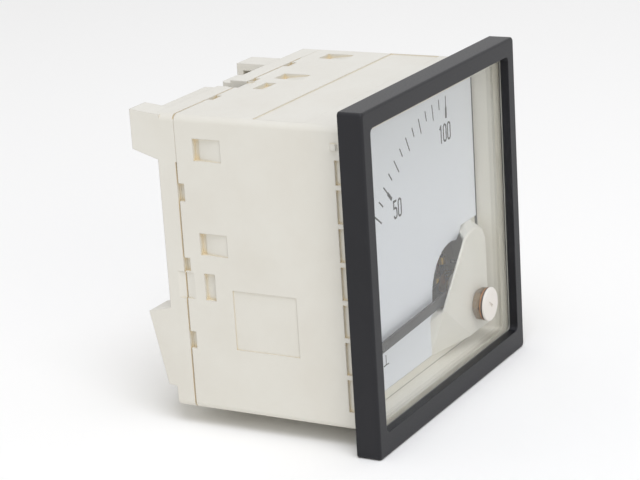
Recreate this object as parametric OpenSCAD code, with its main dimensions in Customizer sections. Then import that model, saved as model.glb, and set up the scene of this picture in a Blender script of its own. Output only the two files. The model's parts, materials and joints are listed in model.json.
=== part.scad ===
// Square panel meter: a moving-coil movement with a 90 degree scale in a moulded case.
// X runs to the right of the dial, Y back into the panel and Z up.
// The origin is the centre of the bezel's rear face, which seats on the panel.

/* [Bezel] */
// Outer width and height of the square bezel
bezel_w = 72; // [71:0.5:76]
// Depth of the bezel in front of the panel
bezel_depth = 5.4; // [5.2:0.1:8]
// Width of the frame at the left and right of the window
frame_side = 3.25; // [2.9:0.05:3.9]
// Width of the frame above the window
frame_top = 3.75; // [2.9:0.05:4.4]
// Width of the frame below the window
frame_bottom = 4.85; // [3.4:0.05:6]
// Radius of the bezel's outer front edges
bezel_edge_r = 0.5; // [0.3:0.1:0.8]

/* [Window] */
// Thickness of the glass
glass_t = 1.6; // [1.4:0.1:2]
// How far the glass lies behind the bezel's front
glass_set_back = 2.2; // [2:0.1:2.4]
// Thickness of the dust seal in front of the glass
seal_t = 0.3; // [0.2:0.05:0.5]

/* [Case] */
// How far the bezel stands out past the case on each side, which covers the panel's cut-out
rear_lip = 4; // [3.5:0.25:5]
// Thickness of the case's walls
case_wall = 1.5; // [1.4:0.1:1.8]
// How far behind the panel seat the case ends
case_back = 40.3; // [39:0.5:48]
// Depth of the rear cover behind the case
cover_depth = 4.5; // [4:0.5:6]
// Radius of the case's long outer edges
case_edge_r = 1.4; // [0.8:0.1:2]
// Gap that shows between case and rear cover
seam_gap = 0.3; // [0.2:0.05:0.6]

/* [Dial] */
// Front face of the dial behind the panel seat
dial_y = 3.5; // [3.3:0.1:4]
// Thickness of the dial sheet
dial_t = 0.6; // [0.5:0.1:1]
// Height of the ledge between the dial and the case's floor
ledge_h = 2.1; // [1.5:0.1:4]
// Radius of the opening in the dial round the movement
dial_hole_r = 10; // [9.6:0.1:11]
// Distance of the movement's axis from the case's right side
pivot_in = 15.8; // [15.6:0.1:16.5]
// Height of the movement's axis above the case's bottom
pivot_up = 16; // [15.7:0.1:16.5]

/* [Pointer] */
// Gap between the pointer's tip at rest and the case's left wall
tip_gap = 5.5; // [4.5:0.1:9]
// Width of the pointer's bar
pointer_w = 2.3; // [1.6:0.1:3]
// Thickness of the pointer's sheet
pointer_t = 0.4; // [0.3:0.05:0.5]
// Angle below level at which the pointer rests
pointer_rest = 2.2; // [0:0.1:4]

/* [Movement] */
// Radius of the magnet core
core_r = 6.2; // [5.6:0.1:6.4]
// Length of the magnet core
core_len = 11; // [9:0.5:12]
// Wall of the soft-iron ring
ring_t = 3.2; // [2.4:0.1:3.6]
// Thickness of the coil's winding
winding_t = 0.9; // [0.5:0.1:1]
// Diameter of the hairsprings
hairspring_d = 7.4; // [6.4:0.2:7.8]

/* [Zero adjuster] */
// Distance of the adjuster's axis from the case's right side
zero_in = 9.3; // [8.8:0.1:10]
// Height of the adjuster's axis above the case's bottom
zero_up = 10.1; // [9.6:0.1:10.6]
// Diameter of the adjuster's white head
zero_head_d = 7.7; // [6:0.1:8.4]
// Distance of the eccentric pin from the adjuster's axis
zero_throw = 0.9; // [0.5:0.05:1]

/* [Terminals] */
// Thread diameter of the terminal studs
stud_d = 4; // [3:0.5:5]
// Distance between the two terminal studs
stud_pitch = 24; // [20:1:28]
// How far the studs stand out of the rear cover
stud_reach = 9.2; // [7:0.2:12]

/* [Hidden] */
$fn = 48;

// clearances
fit_gap = 0.1;
run_gap = 0.05;
lift_gap = 0.5;

// depths along Y, front to back
bezel_y = -bezel_depth;
glass_y = bezel_y + glass_set_back;
glass_back_y = glass_y + glass_t;
seal_y = glass_y - seal_t;
rim_t = 1;
rim_back_y = glass_back_y + rim_t;
pointer_y = dial_y - 2.05;
pointer_back_y = pointer_y + pointer_t;
cover_plate_t = 0.45;
cover_y = pointer_y - lift_gap - cover_plate_t;
cover_under_y = cover_y + cover_plate_t;
dial_back_y = dial_y + dial_t;
chassis_t = 1.4;
chassis_back_y = dial_back_y + chassis_t;
cover_front_y = case_back + run_gap;
cover_back_y = case_back + cover_depth;

// widths
groove_w = 0.5;
window_w = bezel_w - 2 * frame_side;
window_h = bezel_w - frame_top - frame_bottom;
window_z = (frame_bottom - frame_top) / 2;
window_r = 1.2;
pocket_w = bezel_w - 4;
case_w = bezel_w - 2 * rear_lip;
half = case_w / 2;
case_in = case_w - 2 * case_wall;
dial_low = case_in / 2 - ledge_h;
pivot_x = half - pivot_in;
pivot_z = pivot_up - half;
zero_x = half - zero_in;
zero_z = zero_up - half;
pointer_len = pivot_x + case_in / 2 - tip_gap;
dial_right = case_in / 2 - groove_w - fit_gap;

// movement, measured back from the dial
bridge_y = dial_y - 0.9;
bridge_t = 0.8;
lever_t = 0.5;
lever_y = bridge_y - run_gap - lever_t;
spring_y = bridge_y + bridge_t + 1.2;
spring_h = 0.5;
root_y = spring_y + spring_h + 0.3;
former_y = root_y + pointer_t + 0.7;
former_t = 0.4;
bar_gap = 0.5;
coil_gap = 1.1;
ring_gap = 0.65;
former_wall = 0.25;
core_y = former_y + former_t + winding_t + bar_gap;
core_back_y = core_y + core_len;
former_back_y = core_back_y + bar_gap + winding_t + former_t;
ring_y = core_y + 0.5;
ring_back_y = core_back_y - 0.5;
frame_t = 2;
frame_back_y = ring_back_y + frame_t;
rear_spring_y = former_back_y + 0.9;
rear_bridge_y = rear_spring_y + spring_h + 0.9;
rear_bridge_t = 1.2;
coil_in = core_r + coil_gap;
coil_out = coil_in + former_wall + winding_t + 0.1;
ring_inner_r = coil_out + ring_gap;
ring_outer_r = ring_inner_r + ring_t;
staff_r = 0.9;
needle_r = 0.25;
jewel_r = 0.7;
screw_r = 1.25;
boss_d = ring_outer_r + 1.1;
boss_r = 1.5;
post_r = 2.1;
post_d = boss_d + post_r + 1;
leg_d = ring_inner_r + 1.8;
leg_r = 1.3;
bridge_r = leg_r + 0.4;
pilot_r = 0.9;
crank_r = 7.2;
crank_t = 0.6;
stop_ring_r = (ring_inner_r + ring_outer_r) / 2;
stop_pin_r = 0.45;
stop_pin_seat = 2;
screw_len = 4;
screw_head_t = 0.9;
leg_screw_r = 0.6;
leg_screw_len = 2;
leg_head_r = 1.4;
leg_head_t = 0.8;
tail_w = 1.4;
tail_weight_at = 7.7;
tail_weight_r = 1.5;
tail_weight_l = 4.6;
arm_w = 1.1;
side_weight_at = 5.7;
side_weight_r = 0.85;
side_weight_l = 1.6;

// zero adjuster, seen from the movement's axis
zero_dx = zero_x - pivot_x;
zero_dz = zero_z - pivot_z;
zero_dist = norm([zero_dx, zero_dz]);
zero_dir = atan2(zero_dz, zero_dx);
zero_stem_r = 2.2;
zero_pin_r = 0.5;
zero_hole_r = 3.65;
zero_head_t = 0.45;
seal_back_y = glass_y + 0.9;
ring_end_y = seal_back_y + 1.7;

// wall pattern: every side of the case has the same one, counted from its right-hand end
wall_y_pockets = [29.7, 36.2];
pocket_places = [half - 7.1, 4.75];
pocket_h = 4.7;
front_rib_pitch = 8;
front_slot_end = half - 6.9;
seam_open_to = half - 10;

// ---- helpers ----

// A flat outline in X and Z, given thickness from y0 back to y1
module slab(y0, y1) {
    translate([0, y1, 0]) rotate([90, 0, 0]) linear_extrude(y1 - y0) children();
}

// A round bar along Y
module rod(x, z, r, y0, y1) {
    translate([x, y0, z]) rotate([-90, 0, 0]) cylinder(r = r, h = y1 - y0);
}

// A rectangle with true round corners, centred
module round_rect(w, h, r) {
    square([w - 2 * r, h], center = true);
    square([w, h - 2 * r], center = true);
    for (sx = [-1, 1], sz = [-1, 1])
        translate([sx * (w / 2 - r), sz * (h / 2 - r)]) circle(r);
}

// A block whose front edges are rounded by r
module soft_front(w, h, corner, y0, y1, r) {
    hull() {
        for (a = [0, 30, 60, 90])
            slab(y0 + r * (1 - sin(a)), y0 + r * (1 - sin(a)) + 0.02)
                round_rect(w - 2 * r * (1 - cos(a)), h - 2 * r * (1 - cos(a)), corner, $fn = 24);
        slab(y1 - 0.02, y1) round_rect(w, h, corner, $fn = 24);
    }
}

// Turned about the movement's axis; 0 points right and 90 points up
module at_pivot(angle) {
    translate([pivot_x, 0, pivot_z]) rotate([0, -angle, 0]) children();
}

module on_four_sides() {
    for (quarter = [0:3]) rotate([0, 90 * quarter, 0]) children();
}

module hex_nut(x, z, across, hole_r, y0, y1) {
    difference() {
        rod_hex(x, z, across, y0, y1);
        rod(x, z, hole_r, y0 - 1, y1 + 1);
    }
}

module rod_hex(x, z, across, y0, y1) {
    translate([x, y0, z]) rotate([-90, 30, 0]) cylinder(d = across / cos(30), h = y1 - y0, $fn = 6);
}

// A flat spiral strip from r0 out to r1
module spiral(r0, r1, turns, strip) {
    steps = turns * 20;
    function at(i, off) = let (r = r0 + (r1 - r0) * i / steps + off) [r * cos(18 * i), r * sin(18 * i)];
    polygon(concat(
        [for (i = [0:steps]) at(i, strip / 2)],
        [for (i = [steps:-1:0]) at(i, -strip / 2)]
    ));
}

// A wire laid along points, with a round elbow at each
module wire(points, r) {
    for (i = [0:len(points) - 2]) {
        run = points[i + 1] - points[i];
        translate(points[i])
            rotate([0, acos(run[2] / norm(run)), atan2(run[1], run[0])])
                cylinder(r = r, h = norm(run), $fn = 16);
    }
    for (i = [1:len(points) - 2]) translate(points[i]) sphere(r * 1.06, $fn = 24);
}

// ---- front ----

module bezel() {
    snap_w = 12;
    snap_grip = 0.35;
    color("#37363a") {
        difference() {
            soft_front(bezel_w, bezel_w, 0.8, bezel_y, 0, bezel_edge_r);
            slab(bezel_y - 1, seal_y + 1)
                translate([0, window_z]) round_rect(window_w, window_h, window_r);
            slab(seal_y, 1) square(pocket_w, center = true);
        }
        // snap ribs that hold the case's rim
        on_four_sides()
            for (s = [-1, 1])
                translate([s * pocket_w / 4 - snap_w / 2, rim_back_y + fit_gap, pocket_w / 2 - snap_grip])
                    cube([snap_w, -rim_back_y - fit_gap, snap_grip + 0.2]);
    }
}

module window_seal() {
    color("#8d8c88")
    slab(seal_y, glass_y) difference() {
        square(pocket_w - 2 * fit_gap, center = true);
        translate([0, window_z]) round_rect(window_w, window_h, window_r);
    }
}

module front_window() {
    color("#dfe8ea", 0.3)
    difference() {
        slab(glass_y, glass_back_y) square(pocket_w - 2 * fit_gap, center = true);
        rod(zero_x, zero_z, zero_hole_r, glass_y - 1, glass_back_y + 1);
    }
}

// ---- zero adjuster ----

module zero_screw() {
    edge = 0.15;
    head_y = glass_y - zero_head_t;
    slot_w = 0.6;
    slot_l = 2.2;
    slot_deep = 0.3;
    head_r = zero_head_d / 2;
    pin_back_y = lever_y + lever_t;
    color("#e9e4dd") {
        difference() {
            translate([zero_x, head_y, zero_z]) rotate([-90, 0, 0]) rotate_extrude()
                polygon([
                    [0, 0], [head_r - edge, 0], [head_r, edge], [head_r, zero_head_t],
                    [zero_stem_r, zero_head_t], [zero_stem_r, cover_y - head_y - fit_gap],
                    [0, cover_y - head_y - fit_gap]
                ]);
            translate([zero_x, head_y, zero_z]) rotate([0, 35, 0])
                cube([slot_l, 2 * slot_deep, slot_w], center = true);
        }
        translate([zero_x, 0, zero_z]) rotate([0, -zero_dir, 0])
            rod(zero_throw, 0, zero_pin_r, cover_y - 1, pin_back_y);
    }
}

// A collar round the adjuster's stem
module stem_collar(r, y0, y1) {
    difference() {
        rod(zero_x, zero_z, r, y0, y1);
        rod(zero_x, zero_z, zero_stem_r + run_gap, y0 - 1, y1 + 1);
    }
}

module zero_screw_seal() {
    color("#3a2c26")
    stem_collar(zero_hole_r - run_gap, glass_y, seal_back_y);
}

module zero_screw_ring() {
    color("#b07a4a")
    stem_collar(zero_hole_r - run_gap, seal_back_y, ring_end_y);
}

module zero_screw_bush() {
    color("#9a9084")
    stem_collar(zero_hole_r - 3 * run_gap, ring_end_y, cover_y);
}

// ---- case ----

// One side's pattern, cut into the top wall; on the real walls it goes round with the quarters
module wall_cuts() {
    ramp_deep = 0.9;
    slot_deep = 1.25;
    // catch pockets: a floor that slopes down to a deep slot at the rear
    for (place = pocket_places)
        translate([place - pocket_h / 2, 0, half]) {
            rotate([90, 0, 90]) linear_extrude(pocket_h)
                polygon([
                    [wall_y_pockets[0], 0.1], [wall_y_pockets[0], -0.2],
                    [wall_y_pockets[1] - 1, -ramp_deep], [wall_y_pockets[1] - 1, -slot_deep],
                    [wall_y_pockets[1], -slot_deep], [wall_y_pockets[1], 0.1]
                ]);
        }
    // small key slot
    translate([-7.4, 33.3, half - 0.9]) cube([5.8, 2.5, 1]);
    // notches in the rear edge, where the cover's tongues are seen
    for (n = [[half - 18.3, 3.8], [-1.4, 2.9], [13.6 - half, 3.7]])
        translate([n[0], case_back - 1.3, half - 1]) cube([n[1], 2, 1.2]);
    // relief slots behind the bezel, between ribs
    rib_w = 1;
    for (x = [-3.5 * front_rib_pitch : front_rib_pitch : front_slot_end])
        translate([x, 0.9, half - 0.6])
            cube([min(front_rib_pitch - rib_w, front_slot_end - x), 2.5, 1]);
    finger_recess();
}

// Rounded recess across the seam, for a finger or a blade
module finger_recess() {
    translate([-7.4, case_back, half + 5.65]) rotate([0, 90, 0]) cylinder(r = 6, h = 5.7);
}

// Shallow panels moulded into two sides
module label_panels() {
    panel_deep = 0.25;
    translate([-half + 1.2, 10.2, half - panel_deep]) cube([case_w - 2.4, 12, 1]);
    for (s = [-1, 1])
        rotate([0, s * 90, 0])
            translate([-17.6, 14.2, half - panel_deep]) cube([12.9, 15, 1]);
}

module case() {
    pad = 1.2;
    color("#e4dfd4") {
        difference() {
            union() {
                slab(glass_back_y, rim_back_y) square(pocket_w - 4 * fit_gap, center = true);
                slab(rim_back_y - 0.01, case_back) round_rect(case_w, case_w, case_edge_r);
            }
            slab(glass_back_y - 1, case_back + 1) round_rect(case_in, case_in, 0.6);
            on_four_sides() wall_cuts();
            label_panels();
        }
        // pads that back the catch pockets
        on_four_sides()
            for (place = pocket_places)
                translate([place - pocket_h / 2 - 1, wall_y_pockets[0] - 0.6, case_in / 2 - pad])
                    cube([pocket_h + 2, wall_y_pockets[1] - wall_y_pockets[0] + 1.2, pad + 0.2]);
        // catches beside the first rib
        on_four_sides()
            translate([half - 4.8, 2.4, half - 0.3]) rotate([90, 0, 90]) linear_extrude(1.3)
                polygon([[0, 0], [2.2, 0], [1.4, 0.8], [0.4, 0.8]]);
        // ledges inside that the chassis seats on
        on_four_sides()
            translate([8 - half, chassis_back_y, case_in / 2 - 1.2]) cube([12, 2, 1.4]);
    }
}

// ---- rear cover ----

// How far the rear's blocks start inside the cover, so that they are one with it
block_root = 1;

// Clamp block at a corner, seen from the side: rises a little and is chamfered below
module clamp_block() {
    block_w = 6;
    block_h = 7.9;
    rise = 6.1;
    lean = 0.6;
    chamfer = 1.8;
    low = half - block_h - chamfer;
    translate([-half, 0, 0]) rotate([90, 0, 90]) linear_extrude(block_w)
        polygon([
            [cover_back_y - block_root, half - 0.2], [cover_back_y + rise, half + lean],
            [cover_back_y + rise, half - block_h], [cover_back_y + 0.3, low], [cover_back_y - block_root, low]
        ]);
}

// Hollow block at the top edge for the clamp's foot, open towards the middle
module foot_block() {
    block_w = 6.8;
    block_h = 7.3;
    rise = 8.2;
    wall = 1.6;
    from_corner = 17.2;
    low = half - 0.3 - block_h;
    difference() {
        translate([half - from_corner, cover_back_y - block_root, low])
            cube([block_w, rise + block_root, block_h]);
        translate([half - from_corner - wall, cover_back_y + wall, low + wall])
            cube([block_w, rise - 2 * wall, block_h - 2 * wall]);
    }
}

// Sloping block beside the terminals, flush with the side
module side_wedge() {
    block_w = 7;
    top = 22;
    low = 4.6;
    rise = [0.2, 5.5, 2];
    translate([-half, 0, 0]) rotate([90, 0, 90]) linear_extrude(block_w)
        polygon([
            [cover_back_y - block_root, top - half], [cover_back_y + rise[0], top - half],
            [cover_back_y + rise[1], top - 1.3 - half],
            [cover_back_y + rise[2], low - half], [cover_back_y - block_root, low - 0.3 - half]
        ]);
}

// The rear's clamp features, which are the same again half a turn on
module clamp_features() {
    plateau_h = 9.3;
    plateau_rise = 3.2;
    from_corner = 5.8;
    clamp_block();
    foot_block();
    side_wedge();
    // raised plateau beside the latch
    translate([from_corner - half, cover_back_y - block_root, half - 0.4 - plateau_h])
        cube([half - 2 * from_corner - 1.1, plateau_rise + block_root, plateau_h]);
}

module latch_tongue() {
    tongue_t = 1.3;
    translate([2.3, cover_back_y - 0.6, half - 0.6 - tongue_t / 2]) {
        cube([7.6, 3.6, tongue_t], center = true);
        for (s = [-1, 1])
            translate([s * 2.3, 1.8, -tongue_t / 2]) cylinder(r = 1.5, h = tongue_t);
        translate([-2.3, 1.8, -tongue_t / 2]) cube([4.6, 1.5, tongue_t]);
    }
}

module rear_cover() {
    floor_t = 2;
    lip_t = 1.1;
    lip_deep = 3.2;
    terminal_boss_r = 6.4;
    cover_in = case_in - 2 * fit_gap;
    color("#e6e1d6") {
        difference() {
            union() {
                slab(cover_front_y, cover_back_y) round_rect(case_w, case_w, case_edge_r);
                for (turn = [0, 180]) rotate([0, turn, 0]) clamp_features();
                for (x = stud_places) rod(x, 0, terminal_boss_r, cover_back_y - 1, boss_y);
            }
            slab(cover_front_y - 1, cover_back_y - floor_t)
                round_rect(cover_in - 2 * lip_t, cover_in - 2 * lip_t, 0.6);
            on_four_sides() {
                finger_recess();
                // the seam stands open up to the clamp blocks
                translate([-half, cover_front_y - 1, half - 1])
                    cube([half + seam_open_to, 1 + seam_gap, 2]);
            }
            // notch beside the latch at the top edge
            for (turn = [0, 180])
                rotate([0, turn, 0])
                    translate([-6.9, cover_front_y - 1, half - 5]) cube([5.3, cover_depth + 3, 6]);
            for (x = stud_places) rod(x, 0, stud_d / 2 + fit_gap, cover_back_y - 4, cover_back_y + 3);
        }
        for (turn = [0, 180]) rotate([0, turn, 0]) latch_tongue();
        // lip that enters the case
        slab(cover_front_y - lip_deep, cover_front_y + 0.5) difference() {
            round_rect(cover_in, cover_in, 0.5);
            round_rect(cover_in - 2 * lip_t, cover_in - 2 * lip_t, 0.5);
            square([21, case_w], center = true);
            square([case_w, 21], center = true);
        }
    }
}

// ---- inner frame and dial ----

module chassis() {
    chassis_w = case_in - 2 * fit_gap;
    hole_r = ring_outer_r - 0.6;
    post_back = frame_back_y - frame_t;
    color("#ddd8cc") {
        difference() {
            slab(dial_back_y, chassis_back_y) round_rect(chassis_w, chassis_w, 0.5);
            rod(pivot_x, pivot_z, hole_r, 0, 20);
            at_pivot(315) rod(boss_d, 0, pilot_r, 0, chassis_back_y + 1);
            // clearance slot beside the dial
            translate([dial_right, dial_back_y - 1, pivot_z + hump_rise])
                cube([groove_w, chassis_t + 2, case_in / 2 - 1 - pivot_z - hump_rise]);
        }
        // ledge under the dial
        slab(dial_y, dial_back_y + 0.1) intersection() {
            round_rect(chassis_w, chassis_w, 0.5);
            translate([-half, -half]) square([case_w, half - dial_low - fit_gap]);
        }
        // four posts that carry the movement frame
        for (a = [45:90:315]) at_pivot(a) difference() {
            rod(post_d, 0, post_r, chassis_back_y - 0.2, post_back);
            rod(post_d, 0, pilot_r, post_back - screw_len - 1, post_back + 1);
        }
        // boss for the front bridge
        at_pivot(315) difference() {
            rod(boss_d, 0, boss_r, bridge_y + bridge_t, dial_back_y + 0.1);
            rod(boss_d, 0, pilot_r, bridge_y - 1, dial_back_y + 0.5);
        }
    }
}

module dial_plate() {
    dial_left = case_in / 2 - 2 * fit_gap;
    cut_x = pivot_x - flange_reach;
    cut_z = pivot_z - flange_drop;
    color("#e9ebee")
    slab(dial_y, dial_back_y) difference() {
        translate([-dial_left, -dial_low]) square([dial_left + dial_right, dial_left + dial_low]);
        translate([pivot_x, pivot_z]) circle(dial_hole_r);
        // room left of the hole, so that the pointer can drop below zero
        translate([pivot_x - dial_hole_r, cut_z - 0.1]) square([dial_hole_r, flange_drop]);
        // everything under the movement's cover
        translate([cut_x, -dial_low - 1]) square([2 * half, cut_z + dial_low + 1]);
        translate([pivot_x, pivot_z])
            polygon([
                [2.4, 9.2], [hump_left, hump_foot], [hump_left + 1, hump_rise],
                [half, hump_rise], [half, -half], [0, -half]
            ]);
    }
}

// Places on the movement's cover, counted from the movement's axis
hump_left = 4.7;
hump_foot = 10.6;
hump_rise = 12.2;
flange_reach = 11.5;
flange_drop = 4.9;
cover_right = (boss_d * cos(315)) + boss_r + 1.05;
cover_bottom = -dial_low - pivot_z;

// Outline of the raised face, with a rounded shoulder at the upper right
face_outline = [
    [-10.7, -2.4], [1.3, 10.5], [3.4, 11.3], [6.6, 11.7], [9, 11.2],
    [10.9, 10], [11.9, 8.2], [cover_right, 5.8], [cover_right, cover_bottom], [2, cover_bottom]
];
// Outline of the foot on the chassis
foot_outline = [
    [-flange_reach, -flange_drop], [hump_left, hump_foot], [hump_left + 1.1, hump_rise - 0.8],
    [hump_left + 3, hump_rise], [cover_right - 1.6, hump_rise], [cover_right + 0.4, hump_rise - 2],
    [cover_right + 0.9, hump_rise - 5], [cover_right + 0.9, cover_bottom], [-flange_reach, cover_bottom]
];

// Moves a point of an outline inwards, seen from the middle of the cover
function inward(p, d) = [p[0] - sign(p[0] - 5.5) * d, p[1] - sign(p[1]) * d];

// The cover's solid form: a flat face that slopes away to its foot
module cover_form(inset) {
    edge = 0.3;
    hull() translate([pivot_x, 0, pivot_z]) {
        slab(cover_y, cover_y + 0.05) polygon([for (p = face_outline) inward(p, inset + edge)]);
        slab(cover_y + edge, cover_y + edge + 0.05) polygon([for (p = face_outline) inward(p, inset)]);
        slab(dial_y, dial_back_y) polygon([for (p = foot_outline) inward(p, inset)]);
    }
}

module movement_cover() {
    wall = 0.85;
    flange_solid = 8;
    opening_low = -2.6;
    slant_foot = -10.8;
    slant_top = [1.3, 10.5];
    reach = 2 * half;
    color("#e2ded4")
    difference() {
        cover_form(0);
        translate([0, cover_plate_t, 0]) intersection() {
            cover_form(wall);
            // the flange beside the dial stays solid
            translate([pivot_x - flange_solid, 0, -half]) cube([half, case_back, case_w]);
        }
        // the face is cut back along a slanting edge, so that the pointer can swing out
        slab(cover_y - 1, dial_back_y + 1)
            translate([pivot_x, pivot_z])
                polygon([
                    [-reach, opening_low], [slant_foot, opening_low], slant_top,
                    [slant_top[0], reach], [-reach, reach]
                ]);
        // open behind the face on the pointer's side
        translate([0, 0, pivot_z + opening_low]) linear_extrude(half)
            polygon([
                [0, cover_under_y], [pivot_x + 1.6, cover_under_y],
                [pivot_x + hump_left, dial_y], [pivot_x + hump_left, dial_back_y + 1], [0, dial_back_y + 1]
            ]);
        // no foot beside the dial's opening
        slab(dial_y, dial_back_y + 1)
            translate([pivot_x - reach, pivot_z - flange_drop]) square([reach + hump_left, reach]);
        rod(zero_x, zero_z, zero_stem_r + 2 * run_gap, cover_y - 1, cover_under_y + 1);
    }
}

// ---- moving coil ----

module pointer() {
    tip_w = 0.5;
    bar_end = pointer_len - 2.6;
    weight_reach = side_weight_at + 1.1;
    tail_reach = stop_ring_r + 0.5;
    rear = root_y + pointer_t;
    color("#2f2f31")
    at_pivot(180 + pointer_rest) {
        // bar and knife tip over the scale
        slab(pointer_y, pointer_back_y)
            polygon([
                [crank_r, -pointer_w / 2], [bar_end, -pointer_w / 2], [bar_end + 0.7, -tip_w / 2],
                [pointer_len, -0.15], [pointer_len, 0.15], [bar_end + 0.7, tip_w / 2],
                [bar_end, pointer_w / 2], [crank_r, pointer_w / 2]
            ]);
        // crank that passes through the dial's opening
        translate([crank_r, pointer_y, -pointer_w / 2]) cube([crank_t, rear - pointer_y, pointer_w]);
        // root, tail and the arms that carry the weights
        difference() {
            slab(root_y, rear) {
                translate([-tail_reach, -tail_w / 2]) square([tail_reach, tail_w]);
                translate([0, -pointer_w / 2]) square([crank_r + 0.1, pointer_w]);
                translate([-arm_w / 2, -weight_reach]) square([arm_w, 2 * weight_reach]);
                circle(2.2);
            }
            rod(0, 0, staff_r, root_y - 1, rear + 1);
        }
    }
}

module weight_sleeve(r, bore_w, bore_h, len) {
    difference() {
        cylinder(r = r, h = len, center = true, $fn = 24);
        cube([bore_w, bore_h, len + 1], center = true);
    }
}

module balance_weights() {
    middle = root_y + pointer_t / 2;
    color("#b8964c")
    at_pivot(180 + pointer_rest) {
        translate([-tail_weight_at, middle, 0])
            rotate([0, 90, 0]) weight_sleeve(tail_weight_r, tail_w, pointer_t, tail_weight_l);
        for (s = [-1, 1])
            translate([0, middle, s * side_weight_at])
                weight_sleeve(side_weight_r, arm_w, pointer_t, side_weight_l);
    }
}

module front_staff() {
    color("#c2a55c")
    difference() {
        union() {
            rod(pivot_x, pivot_z, staff_r, spring_y - 0.1, former_y);
            rod(pivot_x, pivot_z, 1.6, root_y + pointer_t, former_y);
        }
        rod(pivot_x, pivot_z, needle_r, spring_y - 1, former_y - 0.3);
    }
}

module front_pivot() {
    color("#8e9196")
    rod(pivot_x, pivot_z, needle_r, bridge_y + bridge_t + 0.5, former_y - 0.3);
}

module rear_staff() {
    color("#c2a55c")
    difference() {
        union() {
            rod(pivot_x, pivot_z, staff_r, former_back_y, rear_spring_y + spring_h + 0.1);
            rod(pivot_x, pivot_z, 1.6, former_back_y, former_back_y + 0.5);
        }
        rod(pivot_x, pivot_z, needle_r, former_back_y + 0.3, rear_bridge_y);
    }
}

module rear_pivot() {
    color("#8e9196")
    rod(pivot_x, pivot_z, needle_r, former_back_y + 0.3, rear_bridge_y + 0.1);
}

module coil_former() {
    former_w = 3.4;
    color("#c9ccd0")
    at_pivot(90 + pointer_rest) {
        // side cheeks hold the winding between them
        for (s = [-1, 1])
            translate([0, 0, s * (former_w / 2 - 0.2)]) difference() {
                translate([-coil_out, former_y, -0.2]) cube([2 * coil_out, former_back_y - former_y, 0.4]);
                translate([-coil_in, core_y - bar_gap, -1])
                    cube([2 * coil_in, core_len + 2 * bar_gap, 2]);
            }
        // thin wall inside the winding
        difference() {
            translate([-coil_in - former_wall, core_y - bar_gap - former_wall, -former_w / 2 + 0.1])
                cube([2 * (coil_in + former_wall), core_len + 2 * (bar_gap + former_wall), former_w - 0.2]);
            translate([-coil_in, core_y - bar_gap, -former_w])
                cube([2 * coil_in, core_len + 2 * bar_gap, 2 * former_w]);
        }
        // end plates that the staffs are fixed to
        for (y = [former_y, former_back_y - former_t])
            translate([-2.4, y, -former_w / 2]) cube([4.8, former_t, former_w]);
    }
}

module coil_winding() {
    winding_w = 2.6;
    color("#a4552b")
    at_pivot(90 + pointer_rest) difference() {
        translate([-coil_out + 0.1, former_y + former_t, -winding_w / 2])
            cube([2 * coil_out - 0.2, former_back_y - former_y - 2 * former_t, winding_w]);
        translate([-coil_in - former_wall, core_y - bar_gap - former_wall, -winding_w])
            cube([2 * (coil_in + former_wall), core_len + 2 * (bar_gap + former_wall), 2 * winding_w]);
    }
}

module hairspring(y) {
    color("#b98a4e")
    translate([pivot_x, y + spring_h, pivot_z]) rotate([90, 0, 0]) linear_extrude(spring_h)
        spiral(staff_r + 0.05, hairspring_d / 2, 4, 0.12);
}

module front_hairspring() {
    hairspring(spring_y);
}

module rear_hairspring() {
    hairspring(rear_spring_y);
}

// ---- bearings and zero lever ----

module zero_lever() {
    hub_r = 2.4;
    fork_w = 3;
    reach = zero_dist + zero_throw + 1.6;
    slot_w = 2 * (zero_pin_r + run_gap);
    stud_at = hairspring_d / 2 + 0.35;
    color("#b9bcbf")
    difference() {
        union() {
            slab(lever_y, lever_y + lever_t) translate([pivot_x, pivot_z]) {
                circle(hub_r);
                rotate(zero_dir) translate([0, -fork_w / 2]) square([reach, fork_w]);
                translate([0, -0.6]) square([stud_at + 0.3, 1.2]);
            }
            // tab that holds the front hairspring's outer end
            translate([pivot_x + stud_at - 0.3, lever_y, pivot_z - 0.6])
                cube([0.6, spring_y + spring_h - lever_y, 1.2]);
        }
        rod(pivot_x, pivot_z, screw_r + run_gap, lever_y - 1, lever_y + 1);
        translate([pivot_x, lever_y - 1, pivot_z]) rotate([0, -zero_dir, 0])
            translate([zero_dist - 0.8, 0, -slot_w / 2]) cube([4, 2, slot_w]);
    }
}

module front_bridge() {
    color("#a9abad")
    slab(bridge_y, bridge_y + bridge_t) difference() {
        union() {
            translate([pivot_x, pivot_z]) circle(2.6);
            translate([pivot_x, pivot_z]) rotate(315) translate([0, -1.5]) square([boss_d, 3]);
            translate([pivot_x, pivot_z]) rotate(315) translate([boss_d, 0]) circle(boss_r);
        }
        translate([pivot_x, pivot_z]) circle(screw_r);
        translate([pivot_x, pivot_z]) rotate(315) translate([boss_d, 0]) circle(0.95);
    }
}

module jewel_screw(y0, y1, flip) {
    cup_y = flip ? y0 : y1;
    difference() {
        rod(pivot_x, pivot_z, screw_r, y0, y1);
        rod(pivot_x, pivot_z, jewel_r, cup_y - 0.7, cup_y + 0.7);
        translate([pivot_x, flip ? y1 : y0, pivot_z]) cube([3, 0.8, 0.4], center = true);
    }
}

module jewel(y0, y1, open_y) {
    difference() {
        rod(pivot_x, pivot_z, jewel_r, y0, y1);
        rod(pivot_x, pivot_z, needle_r + run_gap, open_y - 0.45, open_y + 0.45);
    }
}

module front_jewel_screw() {
    color("#c9a753")
    jewel_screw(cover_under_y + 0.2, bridge_y + bridge_t + 0.9, false);
}

module front_jewel() {
    end = bridge_y + bridge_t + 0.9;
    color("#b0324a")
    jewel(end - 0.7, end, end);
}

module front_lock_nut() {
    color("#c9a753")
    hex_nut(pivot_x, pivot_z, 4.2, screw_r, cover_under_y + 0.3, lever_y - run_gap);
}

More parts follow.
